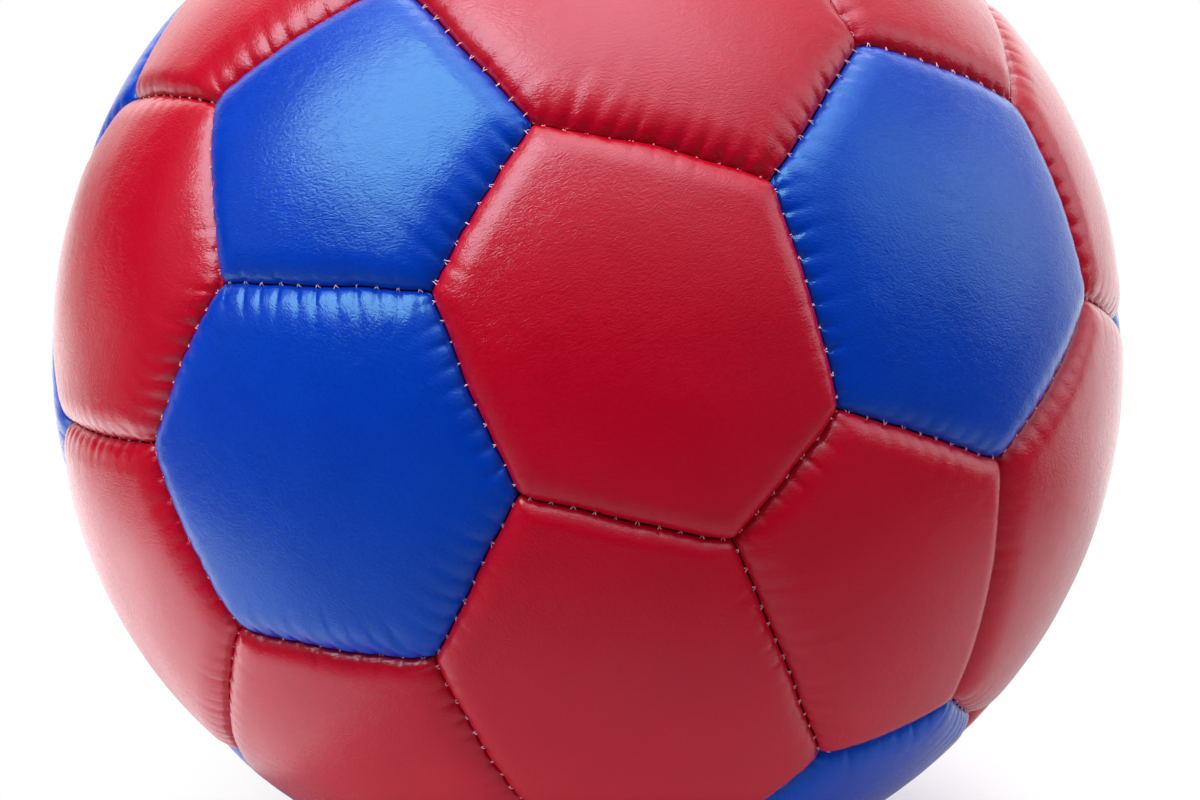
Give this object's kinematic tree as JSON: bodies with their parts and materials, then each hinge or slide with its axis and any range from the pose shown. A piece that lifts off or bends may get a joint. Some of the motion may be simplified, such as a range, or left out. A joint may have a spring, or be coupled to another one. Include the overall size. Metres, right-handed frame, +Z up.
{
  "type": "mini soccer ball",
  "caption": "Small stitched soccer ball of padded red and blue panels, with an inflatable bladder and a needle valve.",
  "frame": {"origin": "under the ball, at the middle of the small flat that it rests on", "axes": "+Z up, -Y towards the side that the picture shows, +X to its right"},
  "size_m": [0.1416, 0.1411, 0.1414],
  "materials": {
    "red_cover": "gloss",
    "blue_cover": "gloss",
    "thread": "matte",
    "bladder_rubber": "satin",
    "valve_rubber": "satin"
  },
  "bodies": {
    "ball": {"pentagon_panel_0": "blue_cover", "pentagon_panel_1": "red_cover", "pentagon_panel_2": "red_cover", "pentagon_panel_3": "blue_cover", "pentagon_panel_4": "red_cover", "pentagon_panel_5": "red_cover", "pentagon_panel_6": "blue_cover", "pentagon_panel_7": "red_cover", "pentagon_panel_8": "red_cover", "pentagon_panel_9": "red_cover", "pentagon_panel_10": "red_cover", "pentagon_panel_11": "red_cover", "hexagon_panel_0_1": "red_cover", "hexagon_panel_0_2": "blue_cover", "hexagon_panel_0_5": "red_cover", "hexagon_panel_0_6": "red_cover", "hexagon_panel_0_7": "red_cover", "hexagon_panel_1_2": "red_cover", "hexagon_panel_1_3": "red_cover", "hexagon_panel_1_7": "blue_cover", "hexagon_panel_1_8": "blue_cover", "hexagon_panel_2_4": "blue_cover", "hexagon_panel_2_6": "red_cover", "hexagon_panel_2_8": "red_cover", "hexagon_panel_3_7": "red_cover", "hexagon_panel_3_8": "red_cover", "hexagon_panel_3_9": "red_cover", "hexagon_panel_3_11": "red_cover", "hexagon_panel_4_6": "red_cover", "hexagon_panel_4_8": "red_cover", "hexagon_panel_4_9": "red_cover", "hexagon_panel_4_10": "blue_cover", "hexagon_panel_5_6": "blue_cover", "hexagon_panel_5_7": "red_cover", "hexagon_panel_5_10": "red_cover", "hexagon_panel_5_11": "blue_cover", "hexagon_panel_6_10": "blue_cover", "hexagon_panel_7_11": "red_cover", "hexagon_panel_8_9": "blue_cover", "hexagon_panel_9_10": "blue_cover", "hexagon_panel_9_11": "blue_cover", "hexagon_panel_10_11": "red_cover", "seam_thread": "thread", "bladder": "bladder_rubber", "valve_housing": "valve_rubber"},
    "valve_plug": {"valve_plug": "valve_rubber"}
  },
  "joints": [
    {"name": "valve_plug_pull", "type": "slide", "parent": "ball", "child": "valve_plug", "axis": [-0.0799, 0.9533, 0.2912], "range_m": [0, 0.0115]}
  ]
}
